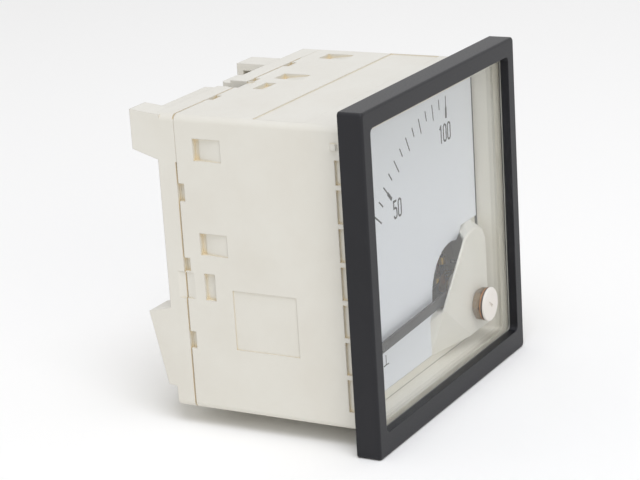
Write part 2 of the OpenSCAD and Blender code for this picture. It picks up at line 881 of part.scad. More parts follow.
module screw(d, y_head, head_t, y_end, head_r) {
    difference() {
        union() {
            rod(0, 0, head_r, y_head, y_head + head_t);
            rod(0, 0, d / 2, y_head, y_end);
        }
        translate([0, y_head, 0]) cube([2 * head_r + 1, head_t, 0.5], center = true);
    }
}

module bridge_screw() {
    color("#9fa2a6")
    at_pivot(315) translate([boss_d, 0, 0])
        screw(2 * (pilot_r - 0.02), bridge_y - screw_head_t, screw_head_t, chassis_back_y + 0.6, boss_r);
}

// ---- magnet system ----

module core_magnet() {
    color("#6d6a66")
    rod(pivot_x, pivot_z, core_r, core_y, core_back_y);
}

module core_supports() {
    spread = 24;
    color("#a79c8d")
    slab(ring_y + 0.5, ring_back_y)
        translate([pivot_x, pivot_z]) for (a = [135, 315]) intersection() {
            difference() {
                circle(ring_inner_r);
                circle(core_r);
            }
            rotate(a) polygon([
                [0, 0], [20 * cos(spread), -20 * sin(spread)], [20, 0], [20 * cos(spread), 20 * sin(spread)]
            ]);
        }
}

module return_ring() {
    color("#77736d")
    difference() {
        rod(pivot_x, pivot_z, ring_outer_r, ring_y, ring_back_y);
        rod(pivot_x, pivot_z, ring_inner_r, ring_y - 1, ring_back_y + 1);
        // seats of the stop pins
        for (a = stop_angles) at_pivot(a) rod(stop_ring_r, 0, stop_pin_r, ring_y - 1, ring_y + stop_pin_seat);
    }
}

travel_down = 0.8;
travel_up = 95.3;
stop_half = asin((tail_w / 2 + stop_pin_r + run_gap) / stop_ring_r);
stop_angles = [pointer_rest + travel_down + stop_half, pointer_rest - travel_up - stop_half];

module stop_pins() {
    color("#b9bcbf")
    for (a = stop_angles)
        at_pivot(a) rod(stop_ring_r, 0, stop_pin_r, root_y - pointer_t, ring_y + stop_pin_seat);
}

module movement_frame() {
    hole_r = ring_inner_r + 0.4;
    color("#857a6c")
    difference() {
        union() {
            slab(ring_back_y, frame_back_y) translate([pivot_x, pivot_z]) {
                circle(ring_outer_r);
                for (a = [45:90:315]) rotate(a) {
                    translate([0, -post_r]) square([post_d, 2 * post_r]);
                    translate([post_d, 0]) circle(post_r);
                }
            }
            // legs that carry the rear bridge
            for (a = [135, 315]) at_pivot(a) rod(leg_d, 0, leg_r, frame_back_y - 0.1, rear_bridge_y);
        }
        rod(pivot_x, pivot_z, hole_r, ring_back_y - 1, frame_back_y + 1);
        for (a = [45:90:315]) at_pivot(a) rod(post_d, 0, 1.1, ring_back_y - 1, frame_back_y + 1);
        for (a = [135, 315])
            at_pivot(a) rod(leg_d, 0, leg_screw_r, rear_bridge_y - leg_screw_len - 1, rear_bridge_y + 1);
    }
}

module screw_from_rear(d, y_head, head_t, y_end, head_r) {
    mirror([0, 1, 0]) screw(d, -y_head, head_t, -y_end, head_r);
}

module movement_screws() {
    color("#9fa2a6")
    for (a = [45:90:315]) at_pivot(a) translate([post_d, 0, 0])
        screw_from_rear(
            2 * (pilot_r - 0.02), frame_back_y + screw_head_t, screw_head_t,
            frame_back_y - frame_t - screw_len, post_r - 0.3
        );
}

module rear_bridge() {
    stud_at = hairspring_d / 2 + 0.35;
    color("#a9abad") {
        slab(rear_bridge_y, rear_bridge_y + rear_bridge_t) translate([pivot_x, pivot_z]) difference() {
            rotate(135) {
                square([2 * leg_d, 2 * bridge_r], center = true);
                for (s = [-1, 1]) translate([s * leg_d, 0]) circle(bridge_r);
                circle(2.8);
            }
            circle(screw_r);
            for (a = [135, 315]) rotate(a) translate([leg_d, 0]) circle(leg_screw_r + fit_gap);
        }
        // stud that holds the rear hairspring's outer end
        slab(rear_bridge_y, rear_bridge_y + 0.8)
            translate([pivot_x, pivot_z - 0.6]) translate([1.5, 0]) square([stud_at - 1.2, 1.2]);
        translate([pivot_x + stud_at - 0.3, rear_spring_y, pivot_z - 0.6])
            cube([0.6, rear_bridge_y - rear_spring_y + 0.1, 1.2]);
    }
}

module rear_bridge_screws() {
    color("#9fa2a6")
    for (a = [135, 315]) at_pivot(a) translate([leg_d, 0, 0])
        screw_from_rear(
            2 * (leg_screw_r - 0.02), rear_bridge_y + rear_bridge_t + leg_head_t, leg_head_t,
            rear_bridge_y - leg_screw_len, leg_head_r
        );
}

module rear_jewel_screw() {
    color("#c9a753")
    jewel_screw(rear_bridge_y - 0.3, rear_bridge_y + rear_bridge_t + 2.2, true);
}

module rear_jewel() {
    color("#b0324a")
    jewel(rear_bridge_y - 0.3, rear_bridge_y + 0.4, rear_bridge_y - 0.3);
}

module rear_lock_nut() {
    start = rear_bridge_y + rear_bridge_t;
    color("#c9a753")
    hex_nut(pivot_x, pivot_z, 4.2, screw_r, start, start + 1.2);
}

// ---- terminals and wiring ----

stud_places = [-stud_pitch / 2, stud_pitch / 2];
boss_y = cover_back_y + 1.5;
inner_y = cover_back_y - 2;
nut_across = stud_d * 1.75;
stud_head_t = 2;
tag_t = 0.5;
tag_z = nut_across + 1;
inner_nut_t = 1.6;
washer_t = 0.8;
nut_t = 2.6;
nut_end_y = boss_y + inner_nut_t + washer_t + nut_t;
// where the nuts grip, the threads are drawn at their pitch diameter
grip_r = stud_d * 0.44;

module terminal_studs() {
    color("#c8b06a")
    for (x = stud_places) {
        rod(x, 0, grip_r, inner_y - tag_t - stud_head_t, nut_end_y + 0.1);
        rod(x, 0, stud_d / 2, nut_end_y, cover_back_y + stud_reach);
        rod_hex(x, 0, nut_across, inner_y - tag_t - stud_head_t, inner_y - tag_t);
    }
}

module solder_tags() {
    color("#c4c7c9")
    slab(inner_y - tag_t, inner_y) for (x = stud_places) difference() {
        union() {
            translate([x, 0]) circle(nut_across * 0.55);
            translate([x - 1.5, 0]) square([3, nut_across + 2.5]);
        }
        translate([x, 0]) circle(grip_r);
        translate([x, tag_z]) circle(0.6);
    }
}

module terminal_inner_nuts() {
    color("#c8b06a")
    for (x = stud_places) hex_nut(x, 0, nut_across, grip_r, boss_y, boss_y + inner_nut_t);
}

module terminal_washers() {
    color("#c4c7c9")
    for (x = stud_places) difference() {
        rod(x, 0, stud_d, boss_y + inner_nut_t, boss_y + inner_nut_t + washer_t);
        rod(x, 0, stud_d / 2 + 0.15, boss_y + 1, boss_y + 3);
    }
}

module terminal_nuts() {
    color("#c8b06a")
    for (x = stud_places) hex_nut(x, 0, nut_across, grip_r, nut_end_y - nut_t, nut_end_y);
}

resistor_r = 2.1;
resistor_l = 9.4;
resistor_stem = 2.4;
lead_r = 0.45;
resistor_y = inner_y - resistor_stem - resistor_l / 2;

module series_resistor() {
    cap_l = 2.6;
    color("#7d9bb0")
    translate([-stud_pitch / 2, resistor_y, tag_z]) rotate([90, 0, 0]) {
        cylinder(r = resistor_r * 0.86, h = resistor_l, center = true);
        for (s = [-1, 1]) translate([0, 0, s * (resistor_l - cap_l) / 2])
            cylinder(r = resistor_r, h = cap_l, center = true);
        cylinder(r = 0.35, h = resistor_l + 2 * resistor_stem, center = true, $fn = 16);
    }
}

// From the rear bridge to the positive terminal's tag
module positive_lead() {
    reach = 9;
    x = pivot_x + reach * cos(315);
    z = pivot_z + reach * sin(315);
    bridge_back_y = rear_bridge_y + rear_bridge_t;
    color("#9c3a34")
    wire([
        [x, bridge_back_y, z], [x, bridge_back_y + 7, z],
        [stud_pitch / 2, inner_y - 6, tag_z], [stud_pitch / 2, inner_y - 0.1, tag_z]
    ], lead_r);
}

// From the front bridge's screw, past the magnet, to the series resistor
module negative_lead() {
    x = pivot_x + boss_d * cos(315);
    z = pivot_z + boss_d * sin(315);
    start_y = chassis_back_y + 0.6;
    end_y = resistor_y - resistor_l / 2 - resistor_stem;
    side = [3, 3.6];
    color("#3d5c8f")
    wire([
        [x, start_y, z], [x + side[0] / 40, start_y + 2, z + side[1] / 40],
        [x + side[0], start_y + 4, z + side[1]],
        [x + side[0], end_y - 1.6, z + side[1]], [-stud_pitch / 2, end_y - 1.6, tag_z],
        [-stud_pitch / 2, end_y, tag_z]
    ], lead_r);
}

bezel();
window_seal();
front_window();
zero_screw();
zero_screw_seal();
zero_screw_ring();
zero_screw_bush();
case();
rear_cover();
chassis();
movement_cover();
dial_plate();
pointer();
balance_weights();
front_staff();
front_pivot();
rear_staff();
rear_pivot();
coil_former();
coil_winding();
front_hairspring();
rear_hairspring();
zero_lever();
front_bridge();
front_jewel_screw();
front_jewel();
front_lock_nut();
bridge_screw();
core_magnet();
core_supports();
return_ring();
stop_pins();
movement_frame();
movement_screws();
rear_bridge();
rear_bridge_screws();
rear_jewel_screw();
rear_jewel();
rear_lock_nut();
terminal_studs();
terminal_inner_nuts();
solder_tags();
terminal_washers();
terminal_nuts();
series_resistor();
positive_lead();
negative_lead();
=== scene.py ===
# Square panel meter: the finish of every part, the dial's print, threads, winding and studio.
import json
from math import atan2, cos, pi, radians, sin

import bmesh
import bpy
from mathutils import Matrix, Vector


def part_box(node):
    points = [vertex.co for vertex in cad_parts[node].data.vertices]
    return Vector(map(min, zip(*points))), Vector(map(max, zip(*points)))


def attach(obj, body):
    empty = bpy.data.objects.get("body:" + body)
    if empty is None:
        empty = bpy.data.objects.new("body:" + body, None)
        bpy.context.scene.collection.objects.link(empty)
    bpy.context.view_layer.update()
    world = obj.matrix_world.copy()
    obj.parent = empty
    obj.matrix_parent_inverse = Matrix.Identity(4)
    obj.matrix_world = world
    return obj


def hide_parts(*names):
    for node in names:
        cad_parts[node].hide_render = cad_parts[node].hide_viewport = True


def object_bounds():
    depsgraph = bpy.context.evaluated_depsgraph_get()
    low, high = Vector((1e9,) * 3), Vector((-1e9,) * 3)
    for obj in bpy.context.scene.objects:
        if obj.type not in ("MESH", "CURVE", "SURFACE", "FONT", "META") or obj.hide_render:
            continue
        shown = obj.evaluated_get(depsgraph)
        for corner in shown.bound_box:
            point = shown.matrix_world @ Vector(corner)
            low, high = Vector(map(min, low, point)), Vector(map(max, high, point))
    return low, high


mm = 0.001
weld = 0.001 * mm  # points nearer than this are one

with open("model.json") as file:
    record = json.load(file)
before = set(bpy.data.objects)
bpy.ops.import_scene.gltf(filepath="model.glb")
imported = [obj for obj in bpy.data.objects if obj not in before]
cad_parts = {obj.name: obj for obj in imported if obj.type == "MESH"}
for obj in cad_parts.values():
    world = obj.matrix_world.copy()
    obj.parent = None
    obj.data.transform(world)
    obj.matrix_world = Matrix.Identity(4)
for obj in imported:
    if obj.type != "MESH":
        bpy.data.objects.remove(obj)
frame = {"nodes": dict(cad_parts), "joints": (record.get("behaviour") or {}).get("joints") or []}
cadLow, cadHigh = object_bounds()
nodes = frame["nodes"]
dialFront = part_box("dial_plate")[0].y
print("frame loaded:", len(nodes), "parts")


# sRGB hex to linear colour
def linear(hexColour, alpha=1.0):
    parts = [int(hexColour[i:i + 2], 16) / 255 for i in (1, 3, 5)]
    return tuple(c / 12.92 if c <= 0.04045 else ((c + 0.055) / 1.055) ** 2.4 for c in parts) + (alpha,)


# Adds a node. Each input is set to a value, or joined to another node's output
def addNode(tree, kind, inputs=None, **settings):
    node = tree.nodes.new(kind)
    for name, value in settings.items():
        setattr(node, name, value)
    for socket, value in (inputs or {}).items():
        if isinstance(value, bpy.types.NodeSocket):
            tree.links.new(value, node.inputs[socket])
        else:
            node.inputs[socket].default_value = value
    return node


def newMaterial(name):
    material = bpy.data.materials.new(name)
    material.use_nodes = True
    material.node_tree.nodes.clear()
    return material, material.node_tree


def finishMaterial(tree, shader):
    addNode(tree, "ShaderNodeOutputMaterial", {"Surface": shader})


# Two near colours that drift into each other over patches of the given size
def mottled(tree, place, colour, tint, patch, detail=3.0):
    cloud = addNode(tree, "ShaderNodeTexNoise", {"Vector": place, "Scale": 1 / patch, "Detail": detail})
    shade = addNode(
        tree,
        "ShaderNodeMix",
        {"Factor": cloud.outputs["Fac"], "A": linear(colour), "B": linear(tint)},
        data_type="RGBA",
    )
    return shade.outputs["Result"]


# How far out a point lies, measured as on a square about the meter's axis, and how far back
def squareDistance(tree, place):
    split = addNode(tree, "ShaderNodeSeparateXYZ", {"Vector": place})
    across = addNode(tree, "ShaderNodeMath", {0: split.outputs["X"]}, operation="ABSOLUTE")
    upward = addNode(tree, "ShaderNodeMath", {0: split.outputs["Z"]}, operation="ABSOLUTE")
    wide = addNode(tree, "ShaderNodeMath", {0: across.outputs[0], 1: upward.outputs[0]}, operation="MAXIMUM")
    return wide.outputs[0], split.outputs["Y"]


# Wall of the case: painted glow in its outer slots and seams, and a painted shade band on its inside behind
# the dial
caseWall = {
    "outside": 30.6 * mm,  # what is further out than this is seen from outside
    "panelFace": 0.2 * mm,  # and only behind the panel's face
    "reach": 1.6 * mm,
    "deepest": 0.1,  # share of open sky where a slot is warmest
    "open": 0.7,  # and where it is not a slot
    # the painted warm glow of slots and the painted pale glow of narrow seams
    "paintedWarmGlow": "#e9d3a3",
    "seam": "#fffaf0",
    "seamShare": 0.3,  # share of open sky where a slot is no longer a seam
    # painted shade for the case's inside behind the dial, where it starts and how deep it runs
    "paintedShade": "#33312d",
    "paintedShadeStart": dialFront + 0.02 * mm,
    "paintedShadeDepth": 3 * mm,
}


# Painted light in the outer slots: where ambient occlusion finds a slot, a warm colour is painted in,
# standing in for light bounced wall to wall. Narrow seams are painted pale, standing in for light glowing
# through the plastic
def warmSlots(tree, surface, wide, deep):
    hollow = addNode(tree, "ShaderNodeAmbientOcclusion", {"Distance": caseWall["reach"]}, samples=8)
    depthRange = {"From Min": caseWall["deepest"], "From Max": caseWall["open"], "To Min": 1.0, "To Max": 0.0}
    depth = addNode(tree, "ShaderNodeMapRange", {"Value": hollow.outputs["AO"], **depthRange})
    outside = addNode(tree, "ShaderNodeMath", {0: wide, 1: caseWall["outside"]}, operation="GREATER_THAN")
    behind = addNode(tree, "ShaderNodeMath", {0: deep, 1: caseWall["panelFace"]}, operation="GREATER_THAN")
    shown = addNode(
        tree,
        "ShaderNodeMath",
        {0: outside.outputs[0], 1: behind.outputs[0]},
        operation="MULTIPLY",
    )
    paintedGlowAmount = addNode(
        tree,
        "ShaderNodeMath",
        {0: depth.outputs["Result"], 1: shown.outputs[0]},
        operation="MULTIPLY",
    )
    # painted glow: pale in narrow seams, warm in wider slots
    paintedGlowRamp = addNode(tree, "ShaderNodeValToRGB", {"Fac": hollow.outputs["AO"]})
    seam, paintedWarmGlow = paintedGlowRamp.color_ramp.elements
    seam.color = linear(caseWall["seam"])
    paintedWarmGlow.position = caseWall["seamShare"]
    paintedWarmGlow.color = linear(caseWall["paintedWarmGlow"])
    shaded = addNode(
        tree,
        "ShaderNodeMix",
        {"Factor": paintedGlowAmount.outputs[0], "A": surface, "B": paintedGlowRamp.outputs["Color"]},
        data_type="RGBA",
    )
    return shaded.outputs["Result"]


# Painted shade: the case's inside behind the dial is painted dark, standing in for the shade there, which
# shows as a line beside the dial
def darkBand(tree, surface, wide, deep):
    start, end = caseWall["paintedShadeStart"], caseWall["paintedShadeStart"] + caseWall["paintedShadeDepth"]
    behind = addNode(tree, "ShaderNodeMath", {0: deep, 1: start}, operation="GREATER_THAN")
    near = addNode(tree, "ShaderNodeMath", {0: deep, 1: end}, operation="LESS_THAN")
    inside = addNode(tree, "ShaderNodeMath", {0: wide, 1: caseWall["outside"]}, operation="LESS_THAN")
    band = addNode(tree, "ShaderNodeMath", {0: behind.outputs[0], 1: near.outputs[0]}, operation="MULTIPLY")
    paintedShadeMask = addNode(tree, "ShaderNodeMath", {0: band.outputs[0], 1: inside.outputs[0]}, operation="MULTIPLY")
    shaded = addNode(
        tree,
        "ShaderNodeMix",
        {"Factor": paintedShadeMask.outputs[0], "A": surface, "B": linear(caseWall["paintedShade"])},
        data_type="RGBA",
    )
    return shaded.outputs["Result"]


# Injection moulded plastic: soft sheen, a spark-eroded grain, edges that catch light.
# The grain, its depth and the edge's radius are in mm
def mouldedPlastic(
    name, colour, tint, roughness, grain, grainDepth, edge, sheen=0.5, hasPaintedSlotGlow=False, hasPaintedShadeBand=False
):
    material, tree = newMaterial(name)
    place = addNode(tree, "ShaderNodeTexCoord").outputs["Object"]
    cloudSize = {"Scale": 1 / (14 * mm), "Detail": 4.0, "Roughness": 0.6}
    cloud = addNode(tree, "ShaderNodeTexNoise", {"Vector": place, **cloudSize})
    drift = {"From Min": 0.35, "From Max": 0.7}
    flow = addNode(tree, "ShaderNodeMapRange", {"Value": cloud.outputs["Fac"], **drift})
    shade = addNode(
        tree,
        "ShaderNodeMix",
        {"Factor": flow.outputs["Result"], "A": linear(colour), "B": linear(tint)},
        data_type="RGBA",
    )
    surface = shade.outputs["Result"]
    # Painted light: warm glow painted into the slots, and on the case a painted shade band behind the dial
    if hasPaintedSlotGlow:
        wide, deep = squareDistance(tree, place)
        surface = warmSlots(tree, surface, wide, deep)
        if hasPaintedShadeBand:
            surface = darkBand(tree, surface, wide, deep)
    grainSize = {"Scale": 1 / (grain * mm), "Detail": 3.0, "Roughness": 0.55}
    fine = addNode(tree, "ShaderNodeTexNoise", {"Vector": place, **grainSize})
    sheenRange = {"From Min": 0.3, "From Max": 0.7, "To Min": roughness - 0.05, "To Max": roughness + 0.07}
    wear = addNode(tree, "ShaderNodeMapRange", {"Value": fine.outputs["Fac"], **sheenRange})
    rounded = addNode(tree, "ShaderNodeBevel", {"Radius": edge * mm}, samples=6)
    relief = {"Strength": 0.35, "Distance": grainDepth * mm}
    bump = addNode(
        tree,
        "ShaderNodeBump",
        {"Height": fine.outputs["Fac"], "Normal": rounded.outputs["Normal"], **relief},
    )
    shader = addNode(
        tree,
        "ShaderNodeBsdfPrincipled",
        {
            "Base Color": surface,
            "Roughness": wear.outputs["Result"],
            "Normal": bump.outputs["Normal"],
            "IOR": 1.53,
            "Specular IOR Level": sheen,
        },
    )
    finishMaterial(tree, shader.outputs["BSDF"])
    return material


# Turned, rolled, cast or plated metal: faint marks run round or along the part.
# The marks, their depth and the edge's radius are in mm
def metalPart(name, colour, tint, roughness, marks, stretch, depth, edge=0.08, metallic=1.0):
    material, tree = newMaterial(name)
    place = addNode(tree, "ShaderNodeTexCoord").outputs["Object"]
    along = addNode(tree, "ShaderNodeMapping", {"Vector": place, "Scale": stretch})
    markSize = {"Scale": 1 / (marks * mm), "Detail": 4.0, "Roughness": 0.6}
    lines = addNode(tree, "ShaderNodeTexNoise", {"Vector": along.outputs["Vector"], **markSize})
    dullRange = {"From Min": 0.3, "From Max": 0.7, "To Min": roughness - 0.06, "To Max": roughness + 0.1}
    dull = addNode(tree, "ShaderNodeMapRange", {"Value": lines.outputs["Fac"], **dullRange})
    rounded = addNode(tree, "ShaderNodeBevel", {"Radius": edge * mm}, samples=4)
    relief = {"Strength": 0.4, "Distance": depth * mm}
    bump = addNode(
        tree,
        "ShaderNodeBump",
        {"Height": lines.outputs["Fac"], "Normal": rounded.outputs["Normal"], **relief},
    )
    shader = addNode(
        tree,
        "ShaderNodeBsdfPrincipled",
        {
            "Base Color": mottled(tree, place, colour, tint, 3 * mm),
            "Metallic": metallic,
            "Roughness": dull.outputs["Result"],
            "Normal": bump.outputs["Normal"],
        },
    )
    finishMaterial(tree, shader.outputs["BSDF"])
    return material


# Enamelled copper wire: reddish metal under a thin clear varnish
def enamelledCopper():
    material, tree = newMaterial("enamelled copper wire")
    place = addNode(tree, "ShaderNodeTexCoord").outputs["Object"]
    shade = mottled(tree, place, "#a35426", "#7d3a1a", 0.6 * mm)
    varnish = {"Coat Weight": 0.6, "Coat Roughness": 0.12}
    shader = addNode(
        tree,
        "ShaderNodeBsdfPrincipled",
        {"Base Color": shade, "Metallic": 1.0, "Roughness": 0.32, **varnish},
    )
    finishMaterial(tree, shader.outputs["BSDF"])
    return material


# Float glass, coated against glare: bends the view, reflects less than bare glass, and lets lamps through
def windowGlass(reflection=0.78, index=1.5):
    material, tree = newMaterial("float glass")
    body = {"Color": linear("#fbfbfa"), "Roughness": 0.0, "IOR": index}
    bent = addNode(tree, "ShaderNodeBsdfRefraction", body)
    mirror = addNode(tree, "ShaderNodeBsdfGlossy", {"Color": linear("#f8f8f7"), "Roughness": 0.02})
    angle = addNode(tree, "ShaderNodeFresnel", {"IOR": index})
    share = addNode(tree, "ShaderNodeMath", {0: angle.outputs[0], 1: reflection}, operation="MULTIPLY")
    glass = addNode(
        tree,
        "ShaderNodeMixShader",
        {0: share.outputs[0], 1: bent.outputs[0], 2: mirror.outputs[0]},
    )
    clear = addNode(tree, "ShaderNodeBsdfTransparent", {"Color": linear("#fafaf9")})
    path = addNode(tree, "ShaderNodeLightPath")
    both = addNode(
        tree,
        "ShaderNodeMixShader",
        {0: path.outputs["Is Shadow Ray"], 1: glass.outputs["Shader"], 2: clear.outputs["BSDF"]},
    )
    finishMaterial(tree, both.outputs["Shader"])
    return material


# Synthetic ruby, polished: deep red and clear
def rubyJewel():
    material, tree = newMaterial("polished ruby")
    place = addNode(tree, "ShaderNodeTexCoord").outputs["Object"]
    shade = mottled(tree, place, "#b3203c", "#8a1030", 0.5 * mm, detail=2.0)
    shader = addNode(
        tree,
        "ShaderNodeBsdfPrincipled",
        {"Base Color": shade, "Roughness": 0.06, "IOR": 1.76, "Transmission Weight": 0.5},
    )
    finishMaterial(tree, shader.outputs["BSDF"])
    return material


# Stoving enamel, lacquer and printing ink: flat colour with a fine orange peel, given in mm
def paintCoat(name, colour, tint, roughness, peel):
    material, tree = newMaterial(name)
    place = addNode(tree, "ShaderNodeTexCoord").outputs["Object"]
    skin = addNode(tree, "ShaderNodeTexNoise", {"Vector": place, "Scale": 1 / (peel * mm), "Detail": 2.0})
    relief = {"Strength": 0.2, "Distance": 0.01 * mm}
    bump = addNode(tree, "ShaderNodeBump", {"Height": skin.outputs["Fac"], **relief})
    shader = addNode(
        tree,
        "ShaderNodeBsdfPrincipled",
        {
            "Base Color": mottled(tree, place, colour, tint, 20 * mm),
            "Roughness": roughness,
            "Normal": bump.outputs["Normal"],
            "IOR": 1.5,
        },
    )
    finishMaterial(tree, shader.outputs["BSDF"])
    return material


# Lacquered resistor: pale blue between grey caps, with colour bands round its body, which lies along Y
resistor = {
    "cap": "#c9ccce",
    "body": "#86a5b8",
    "bands": {0.27: "#6b3f22", 0.4: "#1d1c1c", 0.53: "#b4231d", 0.7: "#a98a3c"},
    "bandWidth": 0.05,
    "capEnd": 0.17,
    "capStart": 0.83,
    "bareWire": 2.4 * mm,  # at each end of the body
}


def bandedLacquer():
    material, tree = newMaterial("lacquered resistor body")
    low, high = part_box("series_resistor")
    place = addNode(tree, "ShaderNodeTexCoord").outputs["Object"]
    split = addNode(tree, "ShaderNodeSeparateXYZ", {"Vector": place})
    bodyRange = {"From Min": low.y + resistor["bareWire"], "From Max": high.y - resistor["bareWire"]}
    along = addNode(tree, "ShaderNodeMapRange", {"Value": split.outputs["Y"], **bodyRange})
    ramp = addNode(tree, "ShaderNodeValToRGB", {"Fac": along.outputs["Result"]})
    ramp.color_ramp.interpolation = "CONSTANT"
    cap, body = ramp.color_ramp.elements
    cap.color = linear(resistor["cap"])
    body.position = resistor["capEnd"]
    body.color = linear(resistor["body"])
    for start, colour in resistor["bands"].items():
        ramp.color_ramp.elements.new(start).color = linear(colour)
        ramp.color_ramp.elements.new(start + resistor["bandWidth"]).color = linear(resistor["body"])
    ramp.color_ramp.elements.new(resistor["capStart"]).color = linear(resistor["cap"])
    shader = addNode(
        tree,
        "ShaderNodeBsdfPrincipled",
        {"Base Color": ramp.outputs["Color"], "Roughness": 0.28, "Coat Weight": 0.5},
    )
    finishMaterial(tree, shader.outputs["BSDF"])
    return material


# Plastics: colour, second colour, roughness, size and depth of the grain, radius of the edges
cream = ("#dedbd1", "#dad6cb", 0.42, 0.35, 0.02, 0.25)
# The case gets the painted slot glow and the painted shade band; its cover gets only the painted slot glow
creamCase = mouldedPlastic("cream polycarbonate", *cream, hasPaintedSlotGlow=True, hasPaintedShadeBand=True)
creamBack = mouldedPlastic("cream polycarbonate cover", *cream, hasPaintedSlotGlow=True)
creamInside = mouldedPlastic("cream polycarbonate inside", "#d9d7cd", "#d2cfc4", 0.5, 0.35, 0.02, 0.12)
creamCover = mouldedPlastic("pale grey polycarbonate", "#dedcd5", "#d8d6cd", 0.45, 0.3, 0.015, 0.2)
blackFrame = mouldedPlastic("black ABS", "#1c1c20", "#18181c", 0.42, 0.3, 0.02, 0.3, sheen=0.3)
whiteAcetal = mouldedPlastic("white acetal", "#e8e3dc", "#e2dcd4", 0.35, 0.2, 0.006, 0.12)
sealFoam = mouldedPlastic("grey foam", "#9b9a94", "#7e7d78", 0.9, 0.18, 0.06, 0.02, sheen=0.2)
# The rubber washer's dark brown is partly painted shade, standing in for the shade in the gap round the zero
# screw
rubberWasherAndGapShade = mouldedPlastic("brown nitrile rubber and painted gap shade", "#4a372d", "#3b2b23", 0.6, 0.2, 0.01, 0.05, sheen=0.3)
redSleeve = mouldedPlastic("red PVC sleeve", "#a53a33", "#983029", 0.4, 0.2, 0.005, 0.02)
blueSleeve = mouldedPlastic("blue PVC sleeve", "#3a5b92", "#324f83", 0.4, 0.2, 0.005, 0.02)
floatGlass = windowGlass()

# Metals: colour, second colour, roughness, size of the marks, their stretch along X, Y and Z, and their depth
even = (1, 1, 1)
turned = (0.3, 1.5, 0.3)
ground = (0.25, 1.2, 0.25)
brushed = (0.3, 1, 1)
amberRing = metalPart("copper washer", "#d08c48", "#b87434", 0.3, 0.3, even, 0.004)
bushMetal = metalPart("turned bronze bush", "#9c8666", "#7d6648", 0.3, 0.25, (0.2, 1.5, 0.2), 0.008)
turnedBrass = metalPart("turned brass", "#c8a75a", "#b08e45", 0.28, 0.2, turned, 0.005)
brightSteel = metalPart("bright steel", "#b3b6ba", "#95989c", 0.24, 0.2, even, 0.004)
rolledAluminium = metalPart("rolled aluminium", "#d2d4d6", "#bfc2c5", 0.35, 0.2, (0.2, 1, 1), 0.006)
castAlloy = metalPart("cast zinc alloy", "#d8cab8", "#beb09e", 0.6, 0.35, even, 0.03, 0.15, metallic=0.35)
bridgeMetal = metalPart(
    "satin nickelled bridge", "#cdc8c0", "#b3aea6", 0.45, 0.2, brushed, 0.006, metallic=0.6
)
softIron = metalPart("soft iron", "#dccfbe", "#c4b7a5", 0.5, 0.3, ground, 0.012, 0.12, metallic=0.45)
groundMagnet = metalPart("ground alnico", "#a59d92", "#8b8379", 0.42, 0.3, ground, 0.01, 0.12, metallic=0.7)
nickelPlate = metalPart("nickel plate", "#c9cbca", "#b3b5b3", 0.22, 0.25, even, 0.004)
springBronze = metalPart("spring bronze", "#c08f4e", "#a8773b", 0.25, 0.15, even, 0.003, 0.02)
copperWire = enamelledCopper()
ruby = rubyJewel()

# Paints: colour, second colour, roughness, size of the orange peel
dialEnamel = paintCoat("white stoving enamel", "#dde1e8", "#d8dce4", 0.4, 0.25)
blackInk = paintCoat("black printing ink", "#1e1e20", "#26262a", 0.55, 0.2)
pointerBlack = paintCoat("matt black lacquer", "#242426", "#2c2c2f", 0.5, 0.15)
resistorLacquer = bandedLacquer()

finishes = {
    "bezel": blackFrame,
    "window_seal": sealFoam,
    "front_window": floatGlass,
    "zero_screw": whiteAcetal,
    "zero_screw_seal": rubberWasherAndGapShade,
    "zero_screw_ring": amberRing,
    "zero_screw_bush": bushMetal,
    "case": creamCase,
    "rear_cover": creamBack,
    "chassis": creamInside,
    "movement_cover": creamCover,
    "dial_plate": dialEnamel,
    "pointer": pointerBlack,
    "balance_weights": turnedBrass,
    "front_staff": turnedBrass,
    "front_pivot": brightSteel,
    "rear_staff": turnedBrass,
    "rear_pivot": brightSteel,
    "coil_former": rolledAluminium,
    "coil_winding": copperWire,
    "front_hairspring": springBronze,
    "rear_hairspring": springBronze,
    "zero_lever": nickelPlate,
    "front_bridge": bridgeMetal,
    "front_jewel_screw": turnedBrass,
    "front_jewel": ruby,
    "front_lock_nut": turnedBrass,
    "bridge_screw": brightSteel,
    "core_magnet": groundMagnet,
    "core_supports": castAlloy,
    "return_ring": softIron,
    "stop_pins": brightSteel,
    "movement_frame": castAlloy,
    "movement_screws": brightSteel,
    "rear_bridge": bridgeMetal,
    "rear_bridge_screws": brightSteel,
    "rear_jewel_screw": turnedBrass,
    "rear_jewel": ruby,
    "rear_lock_nut": turnedBrass,
    "terminal_studs": turnedBrass,
    "terminal_inner_nuts": turnedBrass,
    "solder_tags": nickelPlate,
    "terminal_washers": nickelPlate,
    "terminal_nuts": turnedBrass,
    "series_resistor": resistorLacquer,
    "positive_lead": redSleeve,
    "negative_lead": blueSleeve,
}
for name, material in finishes.items():
    nodes[name].data.materials.clear()
    nodes[name].data.materials.append(material)
print("finishes on:", len(finishes))


def addObject(name, data):
    thing = bpy.data.objects.new(name, data)
    bpy.context.scene.collection.objects.link(thing)
    return thing


def meshObject(name, bm, material):
    mesh = bpy.data.meshes.new(name)
    bm.to_mesh(mesh)
    bm.free()
    mesh.materials.append(material)
    return addObject(name, mesh)


def pieceFromBmesh(name, bm, material, body):
    bmesh.ops.recalc_face_normals(bm, faces=bm.faces)
    piece = meshObject(name, bm, material)
    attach(piece, body)
    return piece


def smoothSides(piece, angle=35):
    for face in piece.data.polygons:
        face.use_smooth = True
    piece.data.set_sharp_from_angle(angle=radians(angle))


# A finely shaped piece that takes the place of a plain node
def newPiece(name, bm, node, body="meter_body"):
    piece = pieceFromBmesh(name, bm, finishes[node], body)
    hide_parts(node)
    smoothSides(piece)
    return piece


def vertsOf(geom):
    return [g for g in geom if isinstance(g, bmesh.types.BMVert)]


